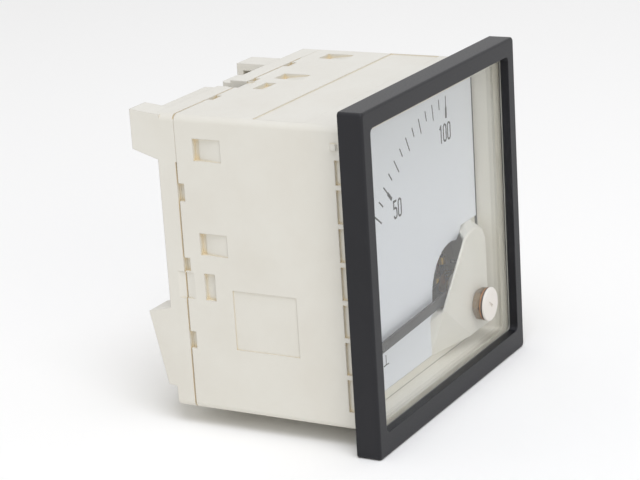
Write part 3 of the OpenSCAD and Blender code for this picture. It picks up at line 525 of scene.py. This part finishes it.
def turnVerts(bm, verts, angle, axis):
    bmesh.ops.rotate(bm, cent=(0, 0, 0), matrix=Matrix.Rotation(angle, 3, axis), verts=verts)


def boxOn(bm, size, centre):
    verts = bmesh.ops.create_cube(bm, size=1.0)["verts"]
    bmesh.ops.scale(bm, vec=size, verts=verts)
    bmesh.ops.translate(bm, vec=centre, verts=verts)
    return verts


# Hexagon nut: both faces are turned to a cone, so the corners show curved chamfers
nut = {"sides": 72, "cone": 0.577, "flatShare": 0.95}


# Toward is the way along Y from this face into the nut
def nutLoop(bm, x, z, y, across, hexagonal=False, toward=1):
    loop = bmesh.ops.create_circle(bm, segments=nut["sides"], radius=1.0, cap_ends=False)["verts"]
    flat = across / 2
    for vert in loop:
        angle = atan2(vert.co.y, vert.co.x)
        within = (angle + pi / 6) % (pi / 3) - pi / 6
        radius = flat / cos(within) if hexagonal else flat
        drop = max(0.0, radius - flat * nut["flatShare"]) * nut["cone"] * toward if hexagonal else 0.0
        vert.co = Vector((x + radius * cos(angle + pi / 6), y + drop, z + radius * sin(angle + pi / 6)))
    return list({edge for vert in loop for edge in vert.link_edges})


def hexNutOn(bm, x, z, y0, y1, across, bore):
    coneStart = across * nut["flatShare"]
    rings = [
        nutLoop(bm, x, z, y0, 2 * bore),
        nutLoop(bm, x, z, y0, coneStart),
        nutLoop(bm, x, z, y0, across, hexagonal=True),
        nutLoop(bm, x, z, y1, across, hexagonal=True, toward=-1),
        nutLoop(bm, x, z, y1, coneStart),
        nutLoop(bm, x, z, y1, 2 * bore),
    ]
    for near, far in zip(rings, rings[1:] + rings[:1]):
        bmesh.ops.bridge_loops(bm, edges=near + far)


def nutPiece(name, node, across, bore, centres):
    low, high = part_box(node)
    made = bmesh.new()
    for x, z in centres:
        hexNutOn(made, x, z, low.y, high.y, across, bore)
    return newPiece(name, made, node)


# Terminal studs: hexagon head inside, and a rolled M4 thread that shows behind the outer nut
stud = {
    "crest": 2.0 * mm,
    "root": 1.65 * mm,
    "pitch": 0.7 * mm,
    "rootEnd": 0.14,  # share of a turn, as the crest's start and end are
    "crestStart": 0.5,
    "crestEnd": 0.62,
    "runOut": 1.5,  # turns beyond each end, which are cut off
    "headDepth": 2.0 * mm,
    "across": 7.0 * mm,
    "nutBore": 1.76 * mm,  # the nuts bite into the thread
    "steps": 48,
}
studLow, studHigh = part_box("terminal_studs")
headCorner = stud["across"] / 2 / cos(pi / 6)
studX = (studHigh.x - studLow.x) / 2 - headCorner  # the heads' outer corners reach the node's sides
terminalCentres = [(-studX, 0.0), (studX, 0.0)]
threadProfile = (
    (stud["root"], 0.0),
    (stud["root"], stud["rootEnd"]),
    (stud["crest"], stud["crestStart"]),
    (stud["crest"], stud["crestEnd"]),
)


# The thread's outline is spun once round while it moves one pitch along, and both ends are cut square
def threadOn(bm, x, z, y0, y1):
    pitch = stud["pitch"]
    turns = int((y1 - y0) / pitch + 2 * stud["runOut"])
    start = y0 - pitch * stud["runOut"]
    outline = [(radius, start + (turn + at) * pitch) for turn in range(turns) for radius, at in threadProfile]
    outline.append((stud["root"], start + turns * pitch))
    verts = [bm.verts.new((x + radius, depth, z)) for radius, depth in outline]
    edges = [bm.edges.new(pair) for pair in zip(verts, verts[1:])]
    bmesh.ops.spin(
        bm,
        geom=verts + edges,
        cent=(x, 0, z),
        axis=(0, 1, 0),
        dvec=(0, pitch / stud["steps"], 0),
        angle=2 * pi,
        steps=stud["steps"],
    )
    bmesh.ops.remove_doubles(bm, verts=bm.verts, dist=2 * weld)
    for cut, normal in ((y0, (0, -1, 0)), (y1, (0, 1, 0))):
        whole = bm.verts[:] + bm.edges[:] + bm.faces[:]
        bmesh.ops.bisect_plane(bm, geom=whole, plane_co=(0, cut, 0), plane_no=normal, clear_outer=True)
        borders = [edge for edge in bm.edges if edge.is_boundary]
        rim = [edge for edge in borders if all(abs(vert.co.y - cut) < weld for vert in edge.verts)]
        bmesh.ops.holes_fill(bm, edges=rim, sides=0)


def studPiece():
    whole = bmesh.new()
    for x, z in terminalCentres:
        made = bmesh.new()
        threadOn(made, x, z, studLow.y + stud["headDepth"], studHigh.y)
        head = bmesh.ops.create_cone(
            made,
            cap_ends=True,
            segments=6,
            radius1=headCorner,
            radius2=headCorner,
            depth=stud["headDepth"],
        )["verts"]
        # corners at the sides and flats above and below, then laid along Y
        turnVerts(made, head, radians(30), "Z")
        turnVerts(made, head, radians(90), "X")
        bmesh.ops.translate(made, vec=(x, studLow.y + stud["headDepth"] / 2, z), verts=head)
        part = bpy.data.meshes.new("stud")
        made.to_mesh(part)
        made.free()
        whole.from_mesh(part)
        bpy.data.meshes.remove(part)
    return newPiece("threaded_studs", whole, "terminal_studs")


studPiece()
nutPiece("outer_hex_nuts", "terminal_nuts", stud["across"], stud["nutBore"], terminalCentres)
nutPiece("inner_hex_nuts", "terminal_inner_nuts", stud["across"], stud["nutBore"], terminalCentres)
print("studs and nuts turned")

pointerJoint = next(j for j in frame["joints"] if j["name"] == "pointer_deflection")
pivot = Vector((pointerJoint["pos_m"][0], 0, pointerJoint["pos_m"][2]))

lockNut = {"across": 4.2 * mm, "bore": 1.25 * mm}
for name, node in (("front_hex_lock_nut", "front_lock_nut"), ("rear_hex_lock_nut", "rear_lock_nut")):
    nutPiece(name, node, lockNut["across"], lockNut["bore"], [(pivot.x, pivot.z)])

# Glass pane with ground edges and a drilled hole; a hair's gap keeps it off the case's rim
paneLow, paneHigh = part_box("front_window")
pane = {
    "front": paneLow.y + 0.02 * mm,
    "back": paneHigh.y - 0.06 * mm,
    "hole": 3.65 * mm,
    "edge": 0.15 * mm,
    "rim": 0.3 * mm,  # what lies this near the outline is ground
    "steps": 96,
}
screwLow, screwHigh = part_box("zero_screw")
screw = Vector(((screwLow.x + screwHigh.x) / 2, 0, (screwLow.z + screwHigh.z) / 2))


def glassPane():
    made = bmesh.new()
    corner = paneHigh.x * 2 ** 0.5
    square = bmesh.ops.create_circle(made, segments=4, radius=corner, cap_ends=False)["verts"]
    turnVerts(made, square, radians(45), "Z")
    hole = bmesh.ops.create_circle(made, segments=pane["steps"], radius=pane["hole"], cap_ends=False)["verts"]
    bmesh.ops.translate(made, vec=(screw.x, screw.z, 0), verts=hole)
    bmesh.ops.triangle_fill(made, use_beauty=True, use_dissolve=False, edges=made.edges[:])
    turnVerts(made, made.verts, radians(90), "X")
    bmesh.ops.translate(made, vec=(0, pane["front"], 0), verts=made.verts)
    thick = bmesh.ops.extrude_face_region(made, geom=made.faces[:])["geom"]
    bmesh.ops.translate(made, vec=(0, pane["back"] - pane["front"], 0), verts=vertsOf(thick))
    reach = paneHigh.x - pane["rim"]
    joined = [edge for edge in made.edges if len(edge.link_faces) == 2]
    folds = [edge for edge in joined if edge.calc_face_angle() > radians(45)]
    rims = [edge for edge in folds if all(max(abs(v.co.x), abs(v.co.z)) > reach for v in edge.verts)]
    bmesh.ops.bevel(
        made,
        geom=rims,
        offset=pane["edge"],
        affect="EDGES",
        segments=1,
        profile=0.5,
        material=-1,
    )
    return newPiece("glass_pane", made, "front_window")


glassPane()

# Collars round the zero screw: rubber and copper grip the glass, and a hexagon bush stands behind it. The
# rubber washer's dark brown is partly painted shade for the gap round the screw
collar = {
    "bore": 2.25 * mm,
    "grip": 3.68 * mm,
    "chamfer": 0.08 * mm,
    "bushAcross": 6.3 * mm,
    "start": pane["front"] - 0.01 * mm,
    "washerStart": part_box("zero_screw_seal")[1].y + 0.3 * mm,
    "bushStart": pane["back"] + 0.25 * mm,
    "end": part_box("zero_screw_bush")[1].y,
}


# A washer turned on a lathe: its outline is pairs of radius and depth, spun about the screw
def collarPiece(name, node, y0, y1):
    bore, grip, chamfer = collar["bore"], collar["grip"], collar["chamfer"]
    rising = [(bore, y0), (grip - chamfer, y0), (grip, y0 + chamfer)]
    falling = [(grip, y1 - chamfer), (grip - chamfer, y1), (bore, y1)]
    made = bmesh.new()
    verts = [made.verts.new((screw.x + radius, depth, screw.z)) for radius, depth in rising + falling]
    edges = [made.edges.new(pair) for pair in zip(verts, verts[1:] + verts[:1])]
    bmesh.ops.spin(
        made,
        geom=verts + edges,
        cent=screw,
        axis=(0, 1, 0),
        angle=2 * pi,
        steps=pane["steps"],
        use_merge=True,
    )
    return newPiece(name, made, node)


# the rubber washer is a real washer whose dark brown also serves as painted shade in the glass hole
collarPiece("zero_screw_rubber_washer_and_gap_shade", "zero_screw_seal", collar["start"], collar["washerStart"])
collarPiece("zero_screw_copper_washer", "zero_screw_ring", collar["washerStart"], collar["bushStart"])
bush = bmesh.new()
hexNutOn(bush, screw.x, screw.z, collar["bushStart"], collar["end"], collar["bushAcross"], collar["bore"])
newPiece("zero_screw_hex_bush", bush, "zero_screw_bush")

# Moving coil: turns of enamelled wire side by side on the former, over a core of the layers below
coil = {
    "wide": 8.45 * mm,
    "inner": 7.56 * mm,
    "front": 6.9 * mm,
    "back": 20.7 * mm,
    "layer": 0.65 * mm,
    "halfWidth": 1.3 * mm,
    "wire": 0.1 * mm,
    "turns": 13,
    "layers": 4,
    "bend": 0.5 * mm,
    "bendSteps": 5,
    "angle": 92.2,
}


def wireTurn(curve, inset, depth, z):
    wide, front, back = coil["wide"] - inset, coil["front"] + depth, coil["back"] - depth
    bend = max(coil["bend"] - inset, coil["wire"])
    points = []
    corners = ((1, back - bend), (-1, back - bend), (-1, front + bend), (1, front + bend))
    for corner, (side, y) in enumerate(corners):
        for step in range(coil["bendSteps"] + 1):
            angle = pi / 2 * (corner + step / coil["bendSteps"])
            points.append((side * (wide - bend) + bend * cos(angle), y + bend * sin(angle), z, 1.0))
    spline = curve.splines.new("POLY")
    spline.points.add(len(points) - 1)
    for point, place in zip(spline.points, points):
        point.co = place
    spline.use_cyclic_u = True


def windingPiece():
    wire = coil["wire"]
    curve = bpy.data.curves.new("winding", "CURVE")
    curve.dimensions = "3D"
    curve.bevel_depth = wire
    curve.bevel_resolution = 2
    pitch = (coil["halfWidth"] - wire) * 2 / (coil["turns"] - 1)
    for turn in range(coil["turns"]):
        z = pitch * turn - coil["halfWidth"] + wire
        outermost = turn in (0, coil["turns"] - 1)
        for layer in range(coil["layers"] if outermost else 1):
            share = layer / (coil["layers"] - 1)
            inset = wire + share * (coil["wide"] - coil["inner"] - 2 * wire)
            wireTurn(curve, inset, wire + share * (coil["layer"] - 2 * wire), z)
    shell = bpy.data.objects.new("winding", curve)
    wires = bpy.data.meshes.new_from_object(shell)
    bpy.data.objects.remove(shell)
    bpy.data.curves.remove(curve)
    made = bmesh.new()
    made.from_mesh(wires)
    bpy.data.meshes.remove(wires)
    # the layers below: two long sides and two ends
    across, deep = coil["wide"] - coil["inner"] - wire, coil["back"] - coil["front"] - 2 * wire
    thick, width = coil["layer"] - wire, 2 * (coil["halfWidth"] - wire)
    sideX, middle = coil["inner"] + across / 2, (coil["front"] + coil["back"]) / 2
    for x in (sideX, -sideX):
        boxOn(made, (across, deep, width), (x, middle, 0))
    for y in (coil["front"] + wire + thick / 2, coil["back"] - wire - thick / 2):
        boxOn(made, (2 * coil["inner"], thick, width), (0, y, 0))
    turnVerts(made, made.verts, radians(-coil["angle"]), "Y")
    bmesh.ops.translate(made, vec=pivot, verts=made.verts)
    return newPiece("wound_turns", made, "coil_winding", body="moving_coil")


windingPiece()

# Hairsprings: a flat strip wound in a smooth spiral
spring = {"inner": 0.95 * mm, "outer": 3.7 * mm, "turns": 4, "strip": 0.12 * mm, "steps": 56}


def hairspringPiece(name, node):
    low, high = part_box(node)
    made = bmesh.new()
    count = spring["turns"] * spring["steps"]
    growth = spring["outer"] - spring["inner"]
    ends = [made.verts.new((spring["inner"], y, 0)) for y in (low.y, high.y)]
    edge = made.edges.new(ends)
    for step in range(count):
        grown = bmesh.ops.extrude_edge_only(made, edges=[edge])["geom"]
        ends = vertsOf(grown)
        edge = next(g for g in grown if isinstance(g, bmesh.types.BMEdge))
        before, after = (spring["inner"] + growth * k / count for k in (step, step + 1))
        turnVerts(made, ends, -2 * pi / spring["steps"], "Y")
        bmesh.ops.scale(made, vec=(after / before, 1, after / before), verts=ends)
    sheet = made.verts[:] + made.edges[:] + made.faces[:]
    bmesh.ops.solidify(made, geom=sheet, thickness=spring["strip"])
    bmesh.ops.translate(made, vec=pivot, verts=made.verts)
    return newPiece(name, made, node, body="moving_coil")


hairspringPiece("front_spiral_spring", "front_hairspring")
hairspringPiece("rear_spiral_spring", "rear_hairspring")
print("glass, collars, winding and springs made")

# The printed scale: 0 at the left and 100 at the top, a mark at every 5
scale = {
    "full": 100,
    "every": 5,
    "mediumEvery": 10,
    "longEvery": 50,
    "zeroAngle": 0.38,
    "sweep": 90.73,
    "outer": 42.65 * mm,
    "short": 40.35 * mm,
    "medium": 39.05 * mm,
    "long": 37.8 * mm,
    "thickFrom": 40.2 * mm,
    "fineWidth": 0.37 * mm,
    "boldWidth": 0.8 * mm,
    "overlap": 0.01 * mm,
    "numbers": {0: (-20.2 * mm, -12.9 * mm), 50: (-7.8 * mm, 8.5 * mm), 100: (16.0 * mm, 18.75 * mm)},
}
inkThickness = 0.02 * mm
inkMiddle = dialFront - inkThickness / 2


# All that is printed is black ink on the dial
def printedPiece(name, bm):
    return pieceFromBmesh(name, bm, blackInk, "meter_body")


def scaleMark(bm, value, inner, outer, width):
    verts = boxOn(bm, (outer - inner, inkThickness, width), (-(outer + inner) / 2, 0, 0))
    turnVerts(bm, verts, radians(scale["zeroAngle"] + scale["sweep"] * value / scale["full"]), "Y")
    bmesh.ops.translate(bm, vec=(pivot.x, inkMiddle, pivot.z), verts=verts)


marks = bmesh.new()
for value in range(0, scale["full"] + 1, scale["every"]):
    if value % scale["longEvery"] == 0:
        scaleMark(marks, value, scale["thickFrom"] - scale["overlap"], scale["outer"], scale["fineWidth"])
        scaleMark(marks, value, scale["long"], scale["thickFrom"], scale["boldWidth"])
    else:
        inner = scale["medium"] if value % scale["mediumEvery"] == 0 else scale["short"]
        scaleMark(marks, value, inner, scale["outer"], scale["fineWidth"])
printedPiece("scale_marks", marks)

# Numerals of a technical alphabet: bars and arcs of one width. A stroke starts as an edge across its path
numeral = {
    "height": 4.1 * mm,
    "width": 1.75 * mm,
    "stroke": 0.47 * mm,
    "gap": 0.28 * mm,
    "arcSteps": 12,
    "oneAside": 0.35,  # share of the bend by which the 1 stands right of the middle
    "flagDrop": 1.05,  # share of the bend by which its flag comes down
    "flagRise": 0.1,  # share of the stroke
    "fiveShoulder": 0.2,  # share of the height above the middle
}
bend = (numeral["width"] - numeral["stroke"]) / 2
top = (numeral["height"] - numeral["stroke"]) / 2
halfStroke = numeral["stroke"] / 2


def strokeEdge(bm, x, z, direction):
    side = Vector((-sin(direction), 0, cos(direction))) * numeral["stroke"] / 2
    ends = [bm.verts.new(Vector((x, 0, z)) + side * sign) for sign in (-1, 1)]
    return bm.edges.new(ends)


def barStroke(bm, start, end):
    run = Vector((end[0] - start[0], 0, end[1] - start[1]))
    edge = strokeEdge(bm, *start, atan2(run.z, run.x))
    grown = bmesh.ops.extrude_edge_only(bm, edges=[edge])["geom"]
    bmesh.ops.translate(bm, vec=run, verts=vertsOf(grown))


def arcStroke(bm, centre, start, sweep):
    x, z = centre[0] + bend * cos(start), centre[1] + bend * sin(start)
    edge = strokeEdge(bm, x, z, start + pi / 2)
    bmesh.ops.spin(
        bm,
        geom=[*edge.verts, edge],
        cent=(centre[0], 0, centre[1]),
        axis=(0, -1, 0),
        angle=sweep,
        steps=numeral["arcSteps"],
    )


def drawZero(bm):
    arcStroke(bm, (0, top - bend), 0, pi)
    arcStroke(bm, (0, bend - top), pi, pi)
    for x in (-bend, bend):
        barStroke(bm, (x, bend - top), (x, top - bend))


def drawOne(bm):
    upright = bend * numeral["oneAside"]
    barStroke(bm, (upright, -top - halfStroke), (upright, top + halfStroke))
    flagFoot, flagTop = top - bend * numeral["flagDrop"], top + numeral["stroke"] * numeral["flagRise"]
    barStroke(bm, (upright - bend, flagFoot), (upright, flagTop))


def drawFive(bm):
    shoulder = top * numeral["fiveShoulder"]
    barStroke(bm, (-bend - halfStroke, top), (bend, top))
    barStroke(bm, (-bend, top), (-bend, shoulder))
    barStroke(bm, (-bend - halfStroke, shoulder), (0, shoulder))
    arcStroke(bm, (0, shoulder - bend), pi / 2, -pi / 2)
    barStroke(bm, (bend, shoulder - bend), (bend, bend - top))
    arcStroke(bm, (0, bend - top), 0, -pi)


numeralShapes = {"0": drawZero, "1": drawOne, "5": drawFive}


def printedNumber(value, x, z):
    ink = bmesh.new()
    digits = str(value)
    step = numeral["width"] + numeral["gap"]
    for place, digit in enumerate(digits):
        before = len(ink.verts)
        numeralShapes[digit](ink)
        ink.verts.ensure_lookup_table()
        offset = (place - (len(digits) - 1) / 2) * step
        bmesh.ops.translate(ink, vec=(x + offset, dialFront - inkThickness, z), verts=ink.verts[before:])
    bmesh.ops.remove_doubles(ink, verts=ink.verts, dist=weld)
    thick = bmesh.ops.extrude_face_region(ink, geom=ink.faces[:])["geom"]
    bmesh.ops.translate(ink, vec=(0, inkThickness, 0), verts=vertsOf(thick))
    printedPiece(f"scale_number_{value}", ink)


for value, (x, z) in scale["numbers"].items():
    printedNumber(value, x, z)

# Mounting symbol: an upright on a base line
symbol = {"x": -16.55 * mm, "base": -23.1 * mm, "width": 2.4 * mm, "height": 2.2 * mm, "line": 0.25 * mm}
sign = bmesh.new()
boxOn(sign, (symbol["width"], inkThickness, symbol["line"]), (symbol["x"], inkMiddle, symbol["base"]))
uprightMiddle = symbol["base"] + symbol["height"] / 2
boxOn(sign, (symbol["line"], inkThickness, symbol["height"]), (symbol["x"], inkMiddle, uprightMiddle))
printedPiece("mounting_symbol", sign)
print("dial printed")

# Studio: a white table in a white room, a wide lamp above and a fill lamp from the front left
studio = {
    "floor": "#fefdfa",
    "floorSize": 3.0,
    "world": 0.6,
    "lampSize": 1.0,
    "lampAim": (0, 0.02, 0),
    "lamps": {
        "key lamp": {"place": (-0.5, -0.4, 1.5), "power": 14.3, "colour": "#f0f3fd"},
        "fill lamp": {"place": (-1.0, -1.4, 0.5), "power": 5.0, "colour": "#fffdf8"},
    },
}
floorMaterial, tree = newMaterial("white paper table")
matt = {"Roughness": 0.9, "Specular IOR Level": 0.1}
paper = addNode(tree, "ShaderNodeBsdfPrincipled", {"Base Color": linear(studio["floor"]), **matt})
finishMaterial(tree, paper.outputs["BSDF"])
table = bmesh.new()
bmesh.ops.create_grid(table, x_segments=1, y_segments=1, size=studio["floorSize"])
bmesh.ops.translate(table, vec=(0, 0, cadLow.z), verts=table.verts)
floor = meshObject("table", table, floorMaterial)

# The camera, mirrors and glass see a white room; what lights the meter is dimmer
world = bpy.data.worlds.new("white studio")
bpy.context.scene.world = world
world.use_nodes = True
tree = world.node_tree
tree.nodes.clear()
path = addNode(tree, "ShaderNodeLightPath")
seen = addNode(
    tree,
    "ShaderNodeMath",
    {0: path.outputs["Is Camera Ray"], 1: path.outputs["Is Glossy Ray"]},
    operation="MAXIMUM",
)
shown = addNode(
    tree,
    "ShaderNodeMath",
    {0: seen.outputs[0], 1: path.outputs["Is Transmission Ray"]},
    operation="MAXIMUM",
)
light = addNode(tree, "ShaderNodeBackground", {"Color": linear("#ffffff"), "Strength": studio["world"]})
white = addNode(tree, "ShaderNodeBackground", {"Color": linear("#ffffff"), "Strength": 1.0})
both = addNode(tree, "ShaderNodeMixShader", {0: shown.outputs[0], 1: light.outputs[0], 2: white.outputs[0]})
addNode(tree, "ShaderNodeOutputWorld", {"Surface": both.outputs[0]})

for name, lamp in studio["lamps"].items():
    data = bpy.data.lights.new(name, "AREA")
    data.shape = "SQUARE"
    data.size = studio["lampSize"]
    data.energy = lamp["power"]
    data.color = linear(lamp["colour"])[:3]
    hung = addObject(name, data)
    hung.location = lamp["place"]
    hung.rotation_euler = (Vector(studio["lampAim"]) - hung.location).to_track_quat("-Z", "Y").to_euler()

# Camera: a long lens, from the dial's left and a little above the meter
view = {
    "lens": 121.0,
    "sensor": 36,
    "nearest": 0.01,
    "place": (-0.388514, -0.195717, 0.133810),
    "right": (0.47837714, -0.87602448, -0.06112626),
    "up": (0.28503432, 0.08905775, 0.95437108),
}
right = Vector(view["right"]).normalized()
up = Vector(view["up"])
up = (up - right * up.dot(right)).normalized()
turn = Matrix((right, up, right.cross(up))).transposed().to_4x4()
cameraData = bpy.data.cameras.new("camera")
cameraData.lens = view["lens"]
cameraData.sensor_width = view["sensor"]
cameraData.clip_start = view["nearest"]
camera = addObject("camera", cameraData)
camera.matrix_world = Matrix.Translation(view["place"]) @ turn
bpy.context.scene.camera = camera
bpy.context.scene.view_settings.view_transform = "Standard"
print("studio set")

bpy.context.view_layer.update()
